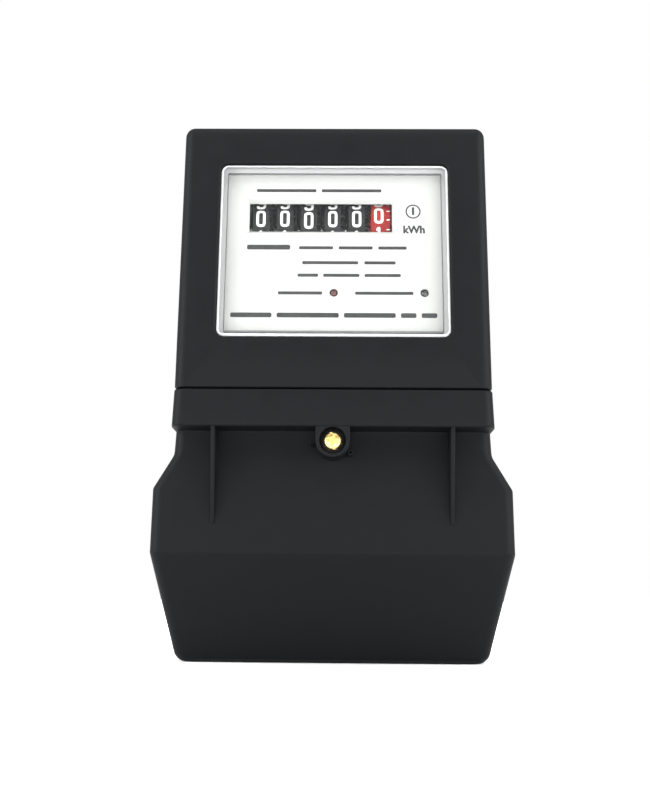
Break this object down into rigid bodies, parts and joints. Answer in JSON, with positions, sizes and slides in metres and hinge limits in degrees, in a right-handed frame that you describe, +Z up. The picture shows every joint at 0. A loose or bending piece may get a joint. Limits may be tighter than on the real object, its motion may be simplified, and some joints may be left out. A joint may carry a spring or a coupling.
{
  "type": "electricity meter",
  "caption": "Wall-mounted electricity meter with a drum register behind a clear window, and a flared terminal cover that pulls off over the wire terminals.",
  "frame": {"origin": "on the wall plane at the back, at the middle of the width and height", "axes": "+X to the right seen from the front, +Z up, the front faces -Y"},
  "size_m": [0.136, 0.054, 0.2086],
  "materials": {
    "black_plastic": "fine moulded matt texture, softly rounded edges",
    "gasket_rubber": "matt, slightly compressed",
    "clear_window": "clear polished polycarbonate",
    "white_plate": "fine satin white with plain black printing",
    "frame_plastic": "satin ivory moulding",
    "drum_black": "matt dark moulding with white printed digits",
    "drum_red": "matt red moulding with white printed digits and ticks",
    "gear_plastic": "natural acetal, faint sheen",
    "zinc_steel": "zinc plated",
    "ground_steel": "ground rod",
    "rotor_magnet": "sintered dark grey with a steel spindle",
    "board_laminate": "green solder mask over fine tracks",
    "film_case": "smooth yellow box",
    "can_sleeve": "dark sleeve over an aluminium can",
    "varistor_coat": "dipped blue resin",
    "chip_epoxy": "matt black epoxy",
    "crystal_can": "drawn nickel-plated can",
    "opto_epoxy": "off-white epoxy",
    "red_lens": "tinted epoxy, unlit",
    "grey_lens": "smoked epoxy, unlit",
    "block_bakelite": "dark brown-black phenolic",
    "brass": "machined",
    "washer_fibre": "black pressed fibre",
    "plated_screw": "yellow zinc plating over steel",
    "shunt_alloy": "manganin strip",
    "link_copper": "copper strip",
    "lead_sleeve": "red sleeved pin",
    "hanger_steel": "zinc-plated sheet"
  },
  "bodies": {
    "case": {"base_case": "black_plastic", "cover_gasket": "gasket_rubber", "meter_cover": "black_plastic", "window_seal": "gasket_rubber", "window": "clear_window", "nameplate": "white_plate", "plate_screws": "zinc_steel", "register_frame": "frame_plastic", "register_screws": "zinc_steel", "drum_shaft": "ground_steel", "pinion_shaft": "ground_steel", "counter_motor": "zinc_steel", "circuit_board": "board_laminate", "board_screws": "zinc_steel", "dropper_capacitor": "film_case", "smoothing_capacitors": "can_sleeve", "varistor": "varistor_coat", "metering_chip": "chip_epoxy", "crystal": "crystal_can", "optocoupler": "opto_epoxy", "reverse_lamp": "red_lens", "pulse_lamp": "grey_lens", "terminal_block": "block_bakelite", "block_screws": "zinc_steel", "terminal_1": "brass", "terminal_2": "brass", "terminal_3": "brass", "terminal_4": "brass", "shunt": "shunt_alloy", "neutral_link": "link_copper", "board_leads": "lead_sleeve", "case_screws": "zinc_steel", "cover_insert": "brass"},
    "drum_ten_thousands": {"drum_ten_thousands": "drum_black"},
    "drum_thousands": {"drum_thousands": "drum_black"},
    "drum_hundreds": {"drum_hundreds": "drum_black"},
    "drum_tens": {"drum_tens": "drum_black"},
    "drum_units": {"drum_units": "drum_black"},
    "drum_tenths": {"drum_tenths": "drum_red"},
    "pinion_ten_thousands": {"pinion_ten_thousands": "gear_plastic"},
    "pinion_thousands": {"pinion_thousands": "gear_plastic"},
    "pinion_hundreds": {"pinion_hundreds": "gear_plastic"},
    "pinion_tens": {"pinion_tens": "gear_plastic"},
    "pinion_units": {"pinion_units": "gear_plastic"},
    "idler_gear": {"idler_gear": "gear_plastic"},
    "motor_rotor": {"motor_rotor": "rotor_magnet"},
    "terminal_cover": {"terminal_cover": "black_plastic"},
    "screw_washer": {"screw_washer": "washer_fibre"},
    "cover_screw": {"cover_screw": "plated_screw"},
    "clamp_screw_1_upper": {"clamp_screw_1_upper": "plated_screw"},
    "clamp_screw_1_lower": {"clamp_screw_1_lower": "plated_screw"},
    "clamp_screw_2_upper": {"clamp_screw_2_upper": "plated_screw"},
    "clamp_screw_2_lower": {"clamp_screw_2_lower": "plated_screw"},
    "clamp_screw_3_upper": {"clamp_screw_3_upper": "plated_screw"},
    "clamp_screw_3_lower": {"clamp_screw_3_lower": "plated_screw"},
    "clamp_screw_4_upper": {"clamp_screw_4_upper": "plated_screw"},
    "clamp_screw_4_lower": {"clamp_screw_4_lower": "plated_screw"},
    "hanger_plate": {"hanger_plate": "hanger_steel"}
  },
  "joints": [
    {"name": "drum_tenths_turn", "type": "hinge", "parent": "case", "child": "drum_tenths", "pos_m": [0.0185, -0.0336, 0.0677], "axis": [-1, 0, 0], "continuous": true},
    {"name": "drum_units_turn", "type": "hinge", "parent": "case", "child": "drum_units", "pos_m": [0.00896, -0.0336, 0.0677], "axis": [-1, 0, 0], "continuous": true},
    {"name": "drum_tens_turn", "type": "hinge", "parent": "case", "child": "drum_tens", "pos_m": [-0.00058, -0.0336, 0.0677], "axis": [-1, 0, 0], "continuous": true},
    {"name": "drum_hundreds_turn", "type": "hinge", "parent": "case", "child": "drum_hundreds", "pos_m": [-0.01012, -0.0336, 0.0677], "axis": [-1, 0, 0], "continuous": true},
    {"name": "drum_thousands_turn", "type": "hinge", "parent": "case", "child": "drum_thousands", "pos_m": [-0.01966, -0.0336, 0.0677], "axis": [-1, 0, 0], "continuous": true},
    {"name": "drum_ten_thousands_turn", "type": "hinge", "parent": "case", "child": "drum_ten_thousands", "pos_m": [-0.0292, -0.0336, 0.0677], "axis": [-1, 0, 0], "continuous": true},
    {"name": "pinion_units_turn", "type": "hinge", "parent": "case", "child": "pinion_units", "pos_m": [0.01296, -0.0237, 0.0578], "axis": [-1, 0, 0], "continuous": true},
    {"name": "pinion_tens_turn", "type": "hinge", "parent": "case", "child": "pinion_tens", "pos_m": [0.00342, -0.0237, 0.0578], "axis": [-1, 0, 0], "continuous": true},
    {"name": "pinion_hundreds_turn", "type": "hinge", "parent": "case", "child": "pinion_hundreds", "pos_m": [-0.00612, -0.0237, 0.0578], "axis": [-1, 0, 0], "continuous": true},
    {"name": "pinion_thousands_turn", "type": "hinge", "parent": "case", "child": "pinion_thousands", "pos_m": [-0.01566, -0.0237, 0.0578], "axis": [-1, 0, 0], "continuous": true},
    {"name": "pinion_ten_thousands_turn", "type": "hinge", "parent": "case", "child": "pinion_ten_thousands", "pos_m": [-0.0252, -0.0237, 0.0578], "axis": [-1, 0, 0], "continuous": true},
    {"name": "idler_turn", "type": "hinge", "parent": "case", "child": "idler_gear", "pos_m": [0.0235, -0.0237, 0.0578], "axis": [-1, 0, 0], "continuous": true},
    {"name": "rotor_turn", "type": "hinge", "parent": "case", "child": "motor_rotor", "pos_m": [0.0285, -0.0172, 0.04994], "axis": [-1, 0, 0], "continuous": true},
    {"name": "terminal_cover_slide", "type": "slide", "parent": "case", "child": "terminal_cover", "axis": [0, -1, 0], "range_m": [0, 0.07]},
    {"name": "cover_screw_travel", "type": "slide", "parent": "terminal_cover", "child": "screw_washer", "axis": [0, -1, 0], "range_m": [0, 0.0078]},
    {"name": "cover_screw_turn", "type": "hinge", "parent": "screw_washer", "child": "cover_screw", "pos_m": [0, -0.048, -0.02295], "axis": [0, -1, 0], "range_deg": [0, 4680]},
    {"name": "clamp_1_upper_travel", "type": "slide", "parent": "case", "child": "clamp_screw_1_upper", "axis": [0, -1, 0], "range_m": [-0.0039, 0.0036]},
    {"name": "clamp_1_lower_travel", "type": "slide", "parent": "case", "child": "clamp_screw_1_lower", "axis": [0, -1, 0], "range_m": [-0.0039, 0.0036]},
    {"name": "clamp_2_upper_travel", "type": "slide", "parent": "case", "child": "clamp_screw_2_upper", "axis": [0, -1, 0], "range_m": [-0.0039, 0.0036]},
    {"name": "clamp_2_lower_travel", "type": "slide", "parent": "case", "child": "clamp_screw_2_lower", "axis": [0, -1, 0], "range_m": [-0.0039, 0.0036]},
    {"name": "clamp_3_upper_travel", "type": "slide", "parent": "case", "child": "clamp_screw_3_upper", "axis": [0, -1, 0], "range_m": [-0.0039, 0.0036]},
    {"name": "clamp_3_lower_travel", "type": "slide", "parent": "case", "child": "clamp_screw_3_lower", "axis": [0, -1, 0], "range_m": [-0.0039, 0.0036]},
    {"name": "clamp_4_upper_travel", "type": "slide", "parent": "case", "child": "clamp_screw_4_upper", "axis": [0, -1, 0], "range_m": [-0.0039, 0.0036]},
    {"name": "clamp_4_lower_travel", "type": "slide", "parent": "case", "child": "clamp_screw_4_lower", "axis": [0, -1, 0], "range_m": [-0.0039, 0.0036]},
    {"name": "hanger_slide", "type": "slide", "parent": "case", "child": "hanger_plate", "axis": [0, 0, 1], "range_m": [0, 0.012]}
  ],
  "couplings": [
    {"joint": "drum_units_turn", "follows": "drum_tenths_turn", "ratio": 0.1},
    {"joint": "drum_tens_turn", "follows": "drum_tenths_turn", "ratio": 0.01},
    {"joint": "drum_hundreds_turn", "follows": "drum_tenths_turn", "ratio": 0.001},
    {"joint": "drum_thousands_turn", "follows": "drum_tenths_turn", "ratio": 0.0001},
    {"joint": "drum_ten_thousands_turn", "follows": "drum_tenths_turn", "ratio": 0.00001},
    {"joint": "pinion_units_turn", "follows": "drum_tenths_turn", "ratio": -0.25},
    {"joint": "pinion_tens_turn", "follows": "drum_tenths_turn", "ratio": -0.025},
    {"joint": "pinion_hundreds_turn", "follows": "drum_tenths_turn", "ratio": -0.0025},
    {"joint": "pinion_thousands_turn", "follows": "drum_tenths_turn", "ratio": -0.00025},
    {"joint": "pinion_ten_thousands_turn", "follows": "drum_tenths_turn", "ratio": -0.000025},
    {"joint": "idler_turn", "follows": "drum_tenths_turn", "ratio": -2.5},
    {"joint": "rotor_turn", "follows": "drum_tenths_turn", "ratio": 6},
    {"joint": "cover_screw_turn", "follows": "cover_screw_travel", "rad_per_m": 10472}
  ]
}
